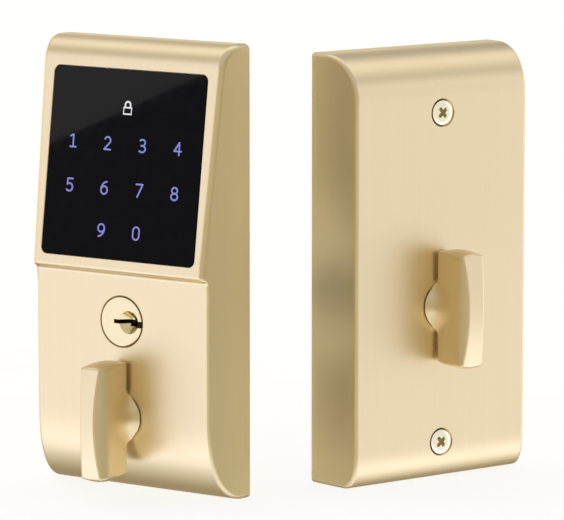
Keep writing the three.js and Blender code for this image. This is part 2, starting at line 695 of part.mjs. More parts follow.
function buildInnerBack() {
  const { height, turnZ } = INNER;
  const half = INNER.halfWidth - PLATE.inset;
  const shape = () => roundedRectangle(half, PLATE.inset, height - PLATE.inset, 2);
  const bolts = [-BOLT.x, BOLT.x];
  const plate = cut(
    slab(shape(), PLATE.back, PLATE.front),
    disc(5.4, -3, 6, 0, turnZ),
    ...bolts.map((x) => disc(2.8, -3, 6, x, turnZ, SMALL_ROUND)),
    box(10, 22, -3, 6, 26, 46),
  );
  piece(inner, 'inner_mounting_plate', plate, MATERIALS.steel);

  const gasketHole = slab(roundedRectangle(25.5, turnZ - 40, turnZ + 25.5, 10), -1, 2);
  piece(inner, 'inner_gasket', cut(slab(shape(), 0, GASKET_FRONT), gasketHole), MATERIALS.foam);

  bolts.forEach((x, index) => {
    const rows = [[0, BOLT.tipEnd], [2.4, BOLT.tipEnd], [2.4, 2.7], [4.4, 2.7], [4.4, 5.2], [0, 5.2]];
    const bolt = turned(rows, x, turnZ, SMALL_ROUND);
    const slots = crossRecess(5.2, 4.6, x, turnZ);
    piece(inner, `through_bolt_${index + 1}`, cut(bolt, ...slots), MATERIALS.steel);
  });
}

piece(inner, 'inner_housing', buildInnerHousing(), MATERIALS.satinBrass);
buildInnerTurn();
buildBatteries();
buildElectronics();
buildCoverScrews();
buildInnerBack();

// ---------------------------------------------------------------------------------------------
// The whole lock, with its origin at the centre of its box, on the floor
// ---------------------------------------------------------------------------------------------
const lock = new THREE.Group();
lock.add(outer, inner);
lock.updateMatrixWorld(true);
const bounds = new THREE.Box3().setFromObject(lock, true);
const centre = bounds.getCenter(new THREE.Vector3());
lock.position.set(-centre.x, -centre.y, -bounds.min.z);

export default lock;
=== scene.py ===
"""Looks of the keypad smart lock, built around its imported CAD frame.

Each case has a frame of its own: X to the right as seen from its front, depth measured out from the
door face, Z up. Shapes are written in millimetres in that frame and placed in metres by Case.place.
"""
import json
import math

import bmesh
import bpy
import numpy as np
from mathutils import Matrix, Vector

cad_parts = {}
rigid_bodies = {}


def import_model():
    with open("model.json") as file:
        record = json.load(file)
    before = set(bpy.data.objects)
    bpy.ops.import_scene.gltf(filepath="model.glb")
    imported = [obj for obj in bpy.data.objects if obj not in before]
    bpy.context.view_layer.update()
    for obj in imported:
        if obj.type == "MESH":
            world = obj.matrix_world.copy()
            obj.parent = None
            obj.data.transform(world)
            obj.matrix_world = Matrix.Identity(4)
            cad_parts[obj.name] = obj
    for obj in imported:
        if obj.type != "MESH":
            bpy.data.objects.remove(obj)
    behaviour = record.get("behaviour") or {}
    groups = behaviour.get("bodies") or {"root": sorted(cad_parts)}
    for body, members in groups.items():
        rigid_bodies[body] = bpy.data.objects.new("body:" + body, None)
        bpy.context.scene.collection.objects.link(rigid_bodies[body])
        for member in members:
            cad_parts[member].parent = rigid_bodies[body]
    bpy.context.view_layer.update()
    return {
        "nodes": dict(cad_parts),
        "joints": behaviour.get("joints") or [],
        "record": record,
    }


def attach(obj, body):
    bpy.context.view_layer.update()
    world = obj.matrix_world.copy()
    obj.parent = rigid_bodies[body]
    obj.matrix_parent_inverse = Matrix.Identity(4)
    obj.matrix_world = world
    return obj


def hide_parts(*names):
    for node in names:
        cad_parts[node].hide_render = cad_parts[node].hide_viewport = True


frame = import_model()

MM = 0.001
FLIP = Matrix.Diagonal((1, -1, 1, 1))
JOINTS = {joint["name"]: joint for joint in frame["joints"]}

# Driving dimensions, in millimetres.
OUTER_FACE = 21.4  # depth of the outside case's face under the keypad
OUTER_HEIGHT = 163.8
OUTER_HALF = 41.4  # half the width at the door face
OUTER_DRAFT = 0.16  # how much a side leans in for each mm of depth
OUTER_BOW = 0.40  # how far the middle of a side wall stands out
OUTER_FOOT = (2.5, 30.0)  # flat depth of the underside, and height of the curve in front of it
OUTER_TOP_RADIUS = 9.6
INNER_FACE = 24.0
INNER_HEIGHT = 158.0
INNER_HALF = 41.8
INNER_DRAFT = 0.10
INNER_BOW = 0.32
INNER_FOOT = (16.2, 14.0)
INNER_CAVITY_FOOT = (16.5, 17.0)
INNER_TOP_RADIUS = 16.8
SIDE_EDGE = 1.5  # radius between the face and the sides
KEYPAD_SIDE_EDGE = 2.3
WALL = 2.6
TURN_Z = {"outer": 28.5, "inner": 64.6}
SPINDLE_HOLE = 5.8  # radius
CYLINDER_Z = 63.1
PLUG_RADIUS = 8.95
PLUG_HOLE = 9.4
COVER_SCREW_Z = (135.4, 13.9)
SCREW_RADIUS = 4.45
SCREW_SEAT = 5.2
BOLT_X = 17.5
BOLT_POST_END = -24.0
GASKET_INSET = 3.2  # from the case's top and bottom
GASKET_SIDE_INSET = 3.45
BORE_HALF = 25.5  # half the gaskets' window round the door's bore

# The keypad stands out over a lip and leans back above it; shapes on it have a tilted frame.
LIP_DEPTH = 24.8
LIP_Z = 82.6
LIP_RADIUS = 1.6
FACE_SLOPE = 0.138  # depth lost per mm of height
GLASS_HALF = (33.85, 34.0)
GLASS_Z = 119.6
GLASS_CORNER = 2.3
SEAT_GAP = 0.12


# ---- Case frames
class Case:
    """Where one case stands: its door-face origin and its turn about Z, read from a joint's axis."""

    def __init__(self, joint_name, joint_depth):
        joint = JOINTS[joint_name]
        out = Vector(joint["axis"]).normalized()
        origin = Vector(joint["pos_m"]) - out * joint_depth * MM
        origin.z = 0.0
        turn = math.atan2(out.x, -out.y)
        self.matrix = Matrix.Translation(origin) @ Matrix.Rotation(turn, 4, "Z") @ Matrix.Scale(MM, 4)

    def place(self, mesh, extra=None):
        """Moves a mesh drawn in (x, depth, z) millimetres into the row frame."""
        mesh.transform(self.matrix @ (extra or Matrix.Identity(4)) @ FLIP)
        mesh.flip_normals()


OUTER = Case("outside_turn_hinge", OUTER_FACE)
INNER = Case("inside_turn_hinge", INNER_FACE)


def keypad_depth(z):
    return LIP_DEPTH - (z - LIP_Z) * FACE_SLOPE


# The keypad frame, for shapes drawn flat: moved to the glass centre and tilted back.
KEYPAD = Matrix.Translation((0, -keypad_depth(GLASS_Z), GLASS_Z))
KEYPAD = KEYPAD @ Matrix.Rotation(-math.atan(FACE_SLOPE), 4, "X")


# ---- Mesh helpers. Shapes are bmeshes in (x, depth, z) until a case places them.
def grid_faces(bm, rows, closed=False):
    """Quads between successive rows of vertices; doubled corners become triangles."""
    for row, nxt in zip(rows, rows[1:]):
        count = len(row)
        for j in range(count if closed else count - 1):
            k = (j + 1) % count
            corners = []
            for vert in (row[j], row[k], nxt[k], nxt[j]):
                if vert not in corners:
                    corners.append(vert)
            if len(corners) > 2:
                bm.faces.new(corners)


def turned(profile, x=0.0, z=0.0, sides=64):
    """A closed lathe about the depth axis through (x, z); profile rows are (radius, depth)."""
    bm = bmesh.new()
    rows = []
    for radius, depth in profile:
        if radius < 1e-6:
            rows.append([bm.verts.new((x, depth, z))] * sides)
            continue
        ring = []
        for j in range(sides):
            angle = 2 * math.pi * j / sides
            ring.append(bm.verts.new((x + radius * math.cos(angle), depth, z + radius * math.sin(angle))))
        rows.append(ring)
    if profile[0][0] > 1e-6:
        rows.append(rows[0])
    grid_faces(bm, rows, closed=True)
    bmesh.ops.recalc_face_normals(bm, faces=bm.faces)
    return bm


def rounded_outline(half_x, low_z, high_z, radius, steps=8):
    """Counter-clockwise points of a rounded rectangle in x and z."""
    points = []
    low, high = low_z + radius, high_z - radius
    for side, centre_z, start in ((1, low, -90), (1, high, 0), (-1, high, 90), (-1, low, 180)):
        for k in range(steps + 1):
            angle = math.radians(start + 90 * k / steps)
            centre_x = side * (half_x - radius)
            points.append((centre_x + radius * math.cos(angle), centre_z + radius * math.sin(angle)))
    return points


def stacked(layers):
    """A closed solid from outlines with equal point counts; layers are (outline, depth)."""
    bm = bmesh.new()
    rows = [[bm.verts.new((x, depth, z)) for x, z in outline] for outline, depth in layers]
    grid_faces(bm, rows, closed=True)
    bm.faces.new(rows[0])
    bm.faces.new(rows[-1])
    bmesh.ops.recalc_face_normals(bm, faces=bm.faces)
    return bm


def soft_slab(outline_at, back, front, edge=0.25, steps=3):
    """A plate whose long edges are rounded; outline_at(inset) gives its outline."""
    layers = []
    angles = [math.pi / 2 * k / steps for k in range(steps + 1)]
    for angle in angles:
        layers.append((outline_at(edge * (1 - math.sin(angle))), back + edge * (1 - math.cos(angle))))
    for angle in angles:
        layers.append((outline_at(edge * (1 - math.cos(angle))), front - edge * (1 - math.sin(angle))))
    return stacked(layers)


def block(x0, x1, back, front, z0, z1, edge=0.0):
    """A box, with its edges rounded where edge isn't zero."""
    bm = bmesh.new()
    verts = [bm.verts.new((x, d, z)) for x in (x0, x1) for d in (back, front) for z in (z0, z1)]
    for face in ((0, 1, 3, 2), (4, 6, 7, 5), (0, 4, 5, 1), (2, 3, 7, 6), (0, 2, 6, 4), (1, 5, 7, 3)):
        bm.faces.new([verts[i] for i in face])
    bmesh.ops.recalc_face_normals(bm, faces=bm.faces)
    if edge:
        bmesh.ops.bevel(bm, geom=list(bm.edges), offset=edge, segments=3, profile=0.5, affect="EDGES")
    return bm


def to_object(bm, name):
    mesh = bpy.data.meshes.new(name)
    bm.to_mesh(mesh)
    bm.free()
    obj = bpy.data.objects.new(name, mesh)
    bpy.context.scene.collection.objects.link(obj)
    return obj


def carve(obj, tools, operation="DIFFERENCE"):
    """Applies exact booleans of obj with each tool bmesh, in the same frame."""
    for tool in tools:
        other = to_object(tool, "tool")
        modifier = obj.modifiers.new("cut", "BOOLEAN")
        modifier.operation = operation
        modifier.solver = "EXACT"
        modifier.object = other
        bpy.context.view_layer.update()
        graph = bpy.context.evaluated_depsgraph_get()
        result = bpy.data.meshes.new_from_object(obj.evaluated_get(graph))
        obj.modifiers.clear()
        old = obj.data
        obj.data = result
        bpy.data.meshes.remove(old)
        bpy.data.objects.remove(other)
    return obj


def piece(name, shape, case, body, material, nodes=(), extra=None, crease=32.0, weighted=True):
    """Places a bmesh or object as a shown piece that rides on a body and stands for CAD nodes."""
    obj = shape if isinstance(shape, bpy.types.Object) else to_object(shape, name)
    obj.name = name
    obj.data.name = name
    case.place(obj.data, extra)
    obj.data.materials.clear()
    obj.data.materials.append(material)
    obj.data.shade_smooth()
    obj.data.set_sharp_from_angle(angle=math.radians(crease))
    if weighted:
        modifier = obj.modifiers.new("weighted", "WEIGHTED_NORMAL")
        modifier.keep_sharp = True
        modifier.weight = 100
    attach(obj, body)
    if nodes:
        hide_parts(*nodes)
    return obj


# ---- Materials
class Nodes:
    """A small writer for one material's node tree."""

    def __init__(self, name):
        self.material = bpy.data.materials.new(name)
        self.material.use_nodes = True
        self.tree = self.material.node_tree
        self.shader = next(n for n in self.tree.nodes if n.type == "BSDF_PRINCIPLED")

    def set(self, **values):
        for key, value in values.items():
            self.shader.inputs[key.replace("_", " ")].default_value = value
        return self

    def add(self, kind, **settings):
        node = self.tree.nodes.new(kind)
        for key, value in settings.items():
            if hasattr(node, key):
                setattr(node, key, value)
            else:
                node.inputs[key.replace("_", " ")].default_value = value
        return node

    def link(self, source, target):
        self.tree.links.new(source, target)

    def coordinates(self, scale, turn_z=0.0):
        """Object coordinates, turned into a case's own frame and stretched."""
        coordinates = self.add("ShaderNodeTexCoord")
        turn = self.add("ShaderNodeMapping", Rotation=(0, 0, -turn_z))
        stretch = self.add("ShaderNodeMapping", Scale=scale)
        self.link(coordinates.outputs["Object"], turn.inputs["Vector"])
        self.link(turn.outputs["Vector"], stretch.inputs["Vector"])
        return stretch.outputs["Vector"]

    def noise(self, scale, size=1.0, detail=3.0, turn_z=0.0):
        noise = self.add("ShaderNodeTexNoise", Scale=size, Detail=detail)
        self.link(self.coordinates(scale, turn_z), noise.inputs["Vector"])
        return noise.outputs["Fac"]

    def ramp(self, source, low, high, start=0.3, end=0.7):
        """A number that runs from low to high as the source runs from start to end."""
        node = self.add("ShaderNodeMapRange", From_Min=start, From_Max=end, To_Min=low, To_Max=high)
        self.link(source, node.inputs["Value"])
        return node.outputs["Result"]

    def tint(self, source, first, second, start=0.35, end=0.65):
        mix = self.add("ShaderNodeMix", data_type="RGBA")
        mix.inputs[6].default_value = (*first, 1)
        mix.inputs[7].default_value = (*second, 1)
        self.link(self.ramp(source, 0, 1, start, end), mix.inputs[0])
        self.link(mix.outputs[2], self.shader.inputs["Base Color"])

    def bump(self, source, strength, distance):
        bump = self.add("ShaderNodeBump", Strength=strength, Distance=distance)
        self.link(source, bump.inputs["Height"])
        if self.shader.inputs["Normal"].links:
            self.link(self.shader.inputs["Normal"].links[0].from_socket, bump.inputs["Normal"])
        self.link(bump.outputs["Normal"], self.shader.inputs["Normal"])


def brushed_brass(name, case):
    """Satin brass with fine vertical brush lines, faint blotches and a thin clear lacquer."""
    nodes = Nodes(name).set(Metallic=1.0, Coat_Weight=0.12, Coat_Roughness=0.35)
    turn = case.matrix.to_euler().z
    fine = nodes.noise((5200, 5200, 90), turn_z=turn, detail=2.0)
    coarse = nodes.noise((1400, 1400, 14), turn_z=turn, detail=3.0)
    cloud = nodes.noise((22, 22, 16), detail=2.0)
    nodes.tint(coarse, (0.816, 0.692, 0.464), (0.828, 0.705, 0.476))
    mixed = nodes.add("ShaderNodeMath", operation="ADD")
    nodes.link(nodes.ramp(fine, -0.035, 0.035), mixed.inputs[0])
    nodes.link(nodes.ramp(cloud, 0.34, 0.38), mixed.inputs[1])
    nodes.link(mixed.outputs[0], nodes.shader.inputs["Roughness"])
    nodes.bump(fine, 0.08, 0.00002)
    nodes.bump(coarse, 0.012, 0.00004)
    return nodes.material


def polished_brass(name, colour):
    """Machined key-plug and screw brass: fine turning marks and tiny scratches."""
    nodes = Nodes(name).set(Metallic=1.0)
    marks = nodes.noise((900, 900, 900), detail=4.0)
    nodes.tint(marks, tuple(0.98 * c for c in colour), colour)
    nodes.link(nodes.ramp(marks, 0.18, 0.23), nodes.shader.inputs["Roughness"])
    nodes.bump(marks, 0.01, 0.00002)
    return nodes.material


def plated_steel(name, colour, roughness, scale=600):
    """Plated or cast metal, or the near-black metal painted as shade in the keyway: mottled sheen and
    slight grain.
    """
    nodes = Nodes(name).set(Metallic=1.0)
    mottle = nodes.noise((scale, scale, scale), detail=4.0)
    darker = tuple(0.86 * c for c in colour)
    nodes.tint(mottle, darker, colour)
    nodes.link(nodes.ramp(mottle, roughness, roughness + 0.12), nodes.shader.inputs["Roughness"])
    nodes.bump(mottle, 0.06, 0.00003)
    return nodes.material


def plain_plastic(name, colour, roughness, grain=2500):
    """Plastic, rubber, foam, or the flat dark brown that paints shade into gaps and recesses: fine grain
    and a slight change of tone.
    """
    nodes = Nodes(name)
    skin = nodes.noise((grain, grain, grain), detail=2.0)
    tone = nodes.noise((60, 60, 60), detail=2.0)
    lighter = tuple(min(1.0, 1.25 * c) for c in colour)
    nodes.tint(tone, colour, lighter)
    nodes.link(nodes.ramp(skin, roughness - 0.05, roughness + 0.05), nodes.shader.inputs["Roughness"])
    nodes.bump(skin, 0.12, 0.00003)
    return nodes.material


def black_glass():
    """Toughened glass printed black on its back: deep, glossy, with the faintest dust."""
    nodes = Nodes("black_glass").set(Specular_IOR_Level=0.045)
    dust = nodes.noise((260, 260, 260), detail=5.0)
    nodes.tint(dust, (0.0016, 0.0014, 0.0019), (0.0022, 0.0020, 0.0026))
    nodes.link(nodes.ramp(dust, 0.02, 0.05, 0.4, 0.8), nodes.shader.inputs["Roughness"])
    return nodes.material


def lit_marking(name, colour):
    """A backlit legend: an even coloured glow from a faintly mottled film."""
    nodes = Nodes(name).set(Roughness=0.4, Specular_IOR_Level=0.1)
    glow = nodes.noise((700, 700, 700), detail=1.0)
    nodes.tint(glow, tuple(0.02 * c for c in colour), tuple(0.05 * c for c in colour))
    nodes.set(Emission_Color=(*colour, 1), Emission_Strength=1.0)
    return nodes.material


def circuit_board():
    """Solder resist with the faint relief of tracks under it."""
    nodes = Nodes("circuit_board").set(Roughness=0.42)
    tracks = nodes.noise((900, 900, 350), detail=1.0)
    nodes.tint(tracks, (0.012, 0.085, 0.040), (0.020, 0.130, 0.060), 0.48, 0.52)
    nodes.bump(nodes.ramp(tracks, 0, 1, 0.48, 0.52), 0.2, 0.00003)
    return nodes.material


BRASS_OUTER = brushed_brass("satin_brass_outer", OUTER)
BRASS_INNER = brushed_brass("satin_brass_inner", INNER)
BRIGHT_BRASS = polished_brass("polished_brass", (0.895, 0.775, 0.51))
SCREW_BRASS = polished_brass("pale_brass", (0.97, 0.92, 0.71))
# Near-black metal for the keyway's depth: painted shade.
KEYWAY_SHADE = plated_steel("keyway_painted_shade", (0.034, 0.018, 0.008), 0.5)
# Dark brown painted shade, laid in the screws' recesses and the gap round the key plug.
PAINTED_SHADE = plain_plastic("painted_shade", (0.20, 0.145, 0.030), 0.7)
GLASS = black_glass()
DIGIT_GLOW = lit_marking("digit_glow", (0.24, 0.25, 0.66))
ICON_GLOW = lit_marking("icon_glow", (0.80, 0.80, 0.82))
STEEL = plated_steel("plated_steel", (0.66, 0.67, 0.69), 0.28)
SPRING_STEEL = plated_steel("spring_steel", (0.55, 0.56, 0.58), 0.22)
ZINC = plated_steel("cast_zinc", (0.47, 0.48, 0.50), 0.42, 300)
RUBBER = plain_plastic("rubber", (0.018, 0.018, 0.019), 0.75)
FOAM = plain_plastic("closed_cell_foam", (0.44, 0.41, 0.35), 0.85, 1200)
PLASTIC = plain_plastic("black_plastic", (0.022, 0.022, 0.025), 0.5)
CLEAR = plain_plastic("clear_plastic", (0.62, 0.66, 0.74), 0.2)
SLEEVE = plain_plastic("cell_sleeve", (0.040, 0.065, 0.110), 0.3, 900)
BOARD = circuit_board()
SLOT_LOOKS = {
    "satin_brass": BRASS_OUTER,
    "polished_brass": BRIGHT_BRASS,
    "black_glass": GLASS,
    "steel": STEEL,
    "spring_steel": SPRING_STEEL,
    "zinc": ZINC,
    "rubber": RUBBER,
    "foam": FOAM,
    "black_plastic": PLASTIC,
    "clear_plastic": CLEAR,
    "circuit_board": BOARD,
    "cell_wrap": SLEEVE,
}


# ---- Housings: a side profile swept across the width, with bowed and drafted side walls
HALF_PI = math.pi / 2
FRONT_STEPS = 4
EDGE_STEPS = 6
SIDE_STEPS = 6


def arc(centre, radii, start, end, steps, inward=False, power=2.0):
    """Points (depth, z, normal depth, normal z) of an arc in radians; a higher power is squarer."""
    points = []
    for k in range(steps + 1):
        angle = start + (end - start) * k / steps
        cos, sin = math.cos(angle), math.sin(angle)
        nx = math.copysign(abs(cos) ** (2 - 2 / power), cos) / radii[0]
        nz = math.copysign(abs(sin) ** (2 - 2 / power), sin) / radii[1]
        length = math.hypot(nx, nz) * (-1 if inward else 1)
        x = radii[0] * math.copysign(abs(cos) ** (2 / power), cos)
        z = radii[1] * math.copysign(abs(sin) ** (2 / power), sin)
        points.append((centre[0] + x, centre[1] + z, nx / length, nz / length))
    return points


def filled(points, longest=5.0):
    """Extra stations along the straight stretches, so that no strip is longer than this."""
    out = [points[0]]
    for a, b in zip(points, points[1:]):
        pieces = max(1, math.ceil(math.hypot(b[0] - a[0], b[1] - a[1]) / longest))
        for k in range(1, pieces + 1):
            t = k / pieces
            normal = Vector((a[2] + (b[2] - a[2]) * t, a[3] + (b[3] - a[3]) * t)).normalized()
            out.append((a[0] + (b[0] - a[0]) * t, a[1] + (b[1] - a[1]) * t, normal.x, normal.y))
    return out


def foot_arc(foot, face, wall, steps, power=2.0):
    """The curve from the underside up to the face, or its parallel inside a wall of this thickness."""
    flat, rise = foot
    radii = (face - wall - flat, rise - wall)
    return arc((flat, rise), radii, -HALF_PI, 0, steps, power=power)


def outer_stations():
    """The outside case's profile: foot, face, hollow under the lip, lip, keypad face and top."""
    tilt = math.atan(FACE_SLOPE)
    sweep = LIP_DEPTH - LIP_RADIUS - OUTER_FACE
    radius = OUTER_TOP_RADIUS
    top_z = OUTER_HEIGHT - radius
    top_d = keypad_depth(top_z + radius * math.sin(tilt)) - radius * math.cos(tilt)
    hollow = (OUTER_FACE + sweep, LIP_Z - LIP_RADIUS - sweep)
    points = [(0, 0, 0, -1)]
    points += foot_arc(OUTER_FOOT, OUTER_FACE, 0, 30, power=2.3)
    points += arc(hollow, (sweep, sweep), math.pi, HALF_PI, 8, inward=True)
    points += arc((LIP_DEPTH - LIP_RADIUS, LIP_Z), (LIP_RADIUS, LIP_RADIUS), -HALF_PI, tilt, 10)[1:]
    points += arc((top_d, top_z), (radius, radius), tilt, HALF_PI, 18)
    points += [(0, OUTER_HEIGHT, 0, 1)]
    return filled(points)


def inner_top(wall, steps):
    """The large curve at the inside case's top, or its parallel inside a wall of this thickness."""
    centre = (INNER_FACE - INNER_TOP_RADIUS, INNER_HEIGHT - INNER_TOP_RADIUS)
    radius = INNER_TOP_RADIUS - wall
    return arc(centre, (radius, radius), 0, HALF_PI, steps)


def inner_stations():
    """The inside case's profile: foot, face and top."""
    points = [(0, 0, 0, -1)]
    points += foot_arc(INNER_FOOT, INNER_FACE, 0, 20, power=2.4)
    points += inner_top(0, 24)
    points += [(0, INNER_HEIGHT, 0, 1)]
    return filled(points)


def clamped(value):
    return min(1.0, max(0.0, value))


def bowed(depth, full_depth, bow_out):
    """How far a side wall stands out at a depth, most of all halfway between back and front."""
    t = clamped(depth / full_depth)
    return 4 * bow_out * t * (1 - t)


def outer_width(depth):
    """Half the outside case's width at a depth."""
    return OUTER_HALF - OUTER_DRAFT * depth + bowed(depth, LIP_DEPTH, OUTER_BOW)


def inner_width(depth):
    """Half the inside case's width at a depth."""
    return INNER_HALF - INNER_DRAFT * depth + bowed(depth, INNER_FACE, INNER_BOW)


def smooth_step(value, start, end):
    t = clamped((value - start) / (end - start))
    return t * t * (3 - 2 * t)


def rolled(depth, z, nd, nz, edge):
    """Where an edge of this radius, rolled along the profile, meets the side wall."""
    return depth - edge * nd, z - edge * nz


def skin_row(station, width_at, edge, shoulder_at, back_z):
    """The points right of the middle at one station: half the front, the rounded edge, the side wall."""
    depth, z, nd, nz = station
    inner_d, inner_z = shoulder_at(depth, z, nd, nz, edge)
    wall_d = max(inner_d, 0.0)
    flat = width_at(wall_d) - edge
    row = [(flat * k / FRONT_STEPS, depth, z) for k in range(FRONT_STEPS + 1)]
    for k in range(1, EDGE_STEPS + 1):
        angle = HALF_PI * k / EDGE_STEPS
        t = 1 - math.cos(angle)
        row.append((flat + edge * math.sin(angle), depth + (inner_d - depth) * t, z + (inner_z - z) * t))
    for k in range(1, SIDE_STEPS + 1):
        t = k / SIDE_STEPS
        side_d = wall_d * (1 - t)
        row.append((width_at(side_d), side_d, inner_z + (back_z - inner_z) * t))
    return row


def swept_case(stations, width_at, edge_at, shoulder_at=rolled):
    """The closed outer skin: front strip, rounded side edges, side walls and a flat back."""
    bm = bmesh.new()
    travel = [0.0]
    for a, b in zip(stations, stations[1:]):
        travel.append(travel[-1] + math.hypot(b[0] - a[0], b[1] - a[1]))
    height = stations[-1][1]
    low_z, high_z = edge_at(0), height - edge_at(height)
    rows = []
    for station, run in zip(stations, travel):
        back_z = low_z + (high_z - low_z) * run / travel[-1]
        right = skin_row(station, width_at, edge_at(station[1]), shoulder_at, back_z)
        left = [(-x, d, z) for x, d, z in reversed(right[1:])]
        rows.append([bm.verts.new(p) for p in left + right])
    grid_faces(bm, rows)
    close_skin(bm)
    return bm


def close_skin(bm):
    """Welds the skin, closes its back and takes the sharpness off the rim of the back."""
    bmesh.ops.remove_doubles(bm, verts=bm.verts, dist=1e-4)
    bmesh.ops.holes_fill(bm, edges=[e for e in bm.edges if e.is_boundary])
    bmesh.ops.dissolve_degenerate(bm, edges=bm.edges, dist=1e-5)
    bmesh.ops.recalc_face_normals(bm, faces=bm.faces)
    flat = [e for e in bm.edges if all(v.co.y < 1e-4 for v in e.verts) and len(e.link_faces) == 2]
    rim = [e for e in flat if e.calc_face_angle(0) > 0.6]
    bmesh.ops.bevel(bm, geom=rim, offset=0.35, segments=2, profile=0.5, affect="EDGES")


def hollow_block(points, width_at):
    """The cavity as a solid: a plain side outline given as (depth, z), across a drafted width."""
    bm = bmesh.new()
    behind = -1.0
    outline = [(behind, points[0][1])] + points + [(behind, points[-1][1])]
    rows = []
    for side in (-1, 1):
        rows.append([bm.verts.new((side * width_at(max(d, 0.0)), d, z)) for d, z in outline])
    grid_faces(bm, rows, closed=True)
    bm.faces.new(rows[0])
    bm.faces.new(rows[1])
    bmesh.ops.triangulate(bm, faces=bm.faces)
    bmesh.ops.recalc_face_normals(bm, faces=bm.faces)
    return bm


def bmesh_in_case(bm):
    """A cutter drawn in the keypad's frame, moved into the case's frame."""
    bm.transform(FLIP @ KEYPAD @ FLIP)
    return bm


def glass_outline(inset):
    half_x, half_z = GLASS_HALF[0] - inset, GLASS_HALF[1] - inset
    return rounded_outline(half_x, -half_z, half_z, GLASS_CORNER - inset)


def outer_edge(z):
    """The side edges are crisp beside the lower face and soft around the keypad."""
    return SIDE_EDGE + (KEYPAD_SIDE_EDGE - SIDE_EDGE) * smooth_step(z, LIP_Z - 4, LIP_Z + 2)


def inner_edge(z):
    """The inside case's side edges are the same all the way up."""
    return SIDE_EDGE


def outer_shoulder(depth, z, nd, nz, edge):
    """Beside the lip the edge runs as one long S instead of following the lip's tight curves."""
    low, high = LIP_Z - 7, LIP_Z + 3
    if not low < z < high:
        return rolled(depth, z, nd, nz, edge)
    t = smooth_step(z, low, high)
    tilt = math.atan(FACE_SLOPE)
    above = keypad_depth(z) - edge * math.cos(tilt)
    return (OUTER_FACE - edge) * (1 - t) + above * t, z - edge * math.sin(tilt) * t


def outer_cavity():
    """The hollow of the outside case; it stays clear of the glass behind the keypad."""
    keypad_wall = 5.4
    shoulder_z = 154
    points = [(d, z) for d, z, _, _ in foot_arc(OUTER_FOOT, OUTER_FACE, WALL, 10)]
    points += [(OUTER_FACE - WALL, LIP_Z - 4), (keypad_depth(LIP_Z) - keypad_wall, LIP_Z + 1)]
    points += [(keypad_depth(shoulder_z) - keypad_wall, shoulder_z), (4.5, OUTER_HEIGHT - WALL)]
    return hollow_block(points, lambda depth: outer_width(depth) - WALL)


def inner_cavity():
    """The hollow of the inside case, which holds the cells and the board."""
    points = foot_arc(INNER_CAVITY_FOOT, INNER_FACE, WALL, 8) + inner_top(WALL, 10)
    return hollow_block([(d, z) for d, z, _, _ in points], lambda depth: inner_width(depth) - WALL)


def keypad_tools():
    """The bevelled seat of the glass and the opening behind it, in the case's frame."""
    seat_edges = ((SEAT_GAP, -3.2), (SEAT_GAP, -0.2), (SEAT_GAP + 0.2, 0.0), (SEAT_GAP + 2.2, 2.0))
    seat = stacked([(glass_outline(-gap), depth) for gap, depth in seat_edges])
    window = rounded_outline(28, -28, 28, 2)
    opening = stacked([(window, -12), (window, 3)])
    return [bmesh_in_case(tool) for tool in (seat, opening)]


def spindle_hole(z):
    return turned([(0, 10), (SPINDLE_HOLE, 10), (SPINDLE_HOLE, 30), (0, 30)], 0, z)


def build_outer_housing():
    shell = to_object(swept_case(outer_stations(), outer_width, outer_edge, outer_shoulder), "outer_case")
    front = OUTER_FACE
    cylinder_hole = turned([
        (0, 10), (PLUG_HOLE, 10), (PLUG_HOLE, front - 0.2), (PLUG_HOLE + 0.2, front),
        (PLUG_HOLE + 2.2, front + 2), (0, front + 2),
    ], 0, CYLINDER_Z, 96)
    carve(shell, [outer_cavity()] + keypad_tools() + [cylinder_hole, spindle_hole(TURN_Z["outer"])])
    piece("outer_case", shell, OUTER, "cases", BRASS_OUTER, ["outer_housing"])


def screw_seat(z):
    front = INNER_FACE
    return turned([
        (0, 10), (2.5, 10), (2.5, front - 3.3), (SCREW_SEAT, front - 0.5), (SCREW_SEAT, front - 0.2),
        (SCREW_SEAT + 0.2, front), (SCREW_SEAT + 2.2, front + 2), (0, front + 2),
    ], 0, z, 72)


def build_inner_housing():
    shell = to_object(swept_case(inner_stations(), inner_width, inner_edge), "inner_case")
    carve(shell, [inner_cavity(), spindle_hole(TURN_Z["inner"])] + [screw_seat(z) for z in COVER_SCREW_Z])
    piece("inner_case", shell, INNER, "cases", BRASS_INNER, ["inner_housing"])


# ---- Thumb turns: one implicit surface, a bowed bar blended into a flared hub
def soft_max(a, b, radius):
    """The larger of two fields, with the edge between them rounded."""
    mix = np.clip(0.5 + 0.5 * (a - b) / radius, 0, 1)
    return b + (a - b) * mix + radius * mix * (1 - mix)


def soft_min(a, b, radius):
    return -soft_max(-a, -b, radius)


TURN_HALF = 19.8
TURN_ENDS = {"outer": 19.0, "inner": 17.9}  # depth of the bar's two ends over the face
TURN_CELL = 0.42  # grid step of the surface
TURN_REAR = (1.3, 3.2)  # depth and half width of the bar's back
TURN_RIDGE = (16.3, 5.55)  # and of its widest place
TURN_CHAMFER = 0.55  # narrowing per mm in front of the ridge
TURN_BULGE = 2.2
TURN_END_CROWN = 2.0
CROWN_DEPTH = 11.5  # where the ends stand out most
CROWN_REACH = (12.0, 8.5)  # how far that lasts behind and in front
HUB_RADIUS = 8.7
HUB_NECK = 6.0  # how much narrower the hub is where it meets the bar
HUB_FRONT = 11
HUB_REAR = 0.4


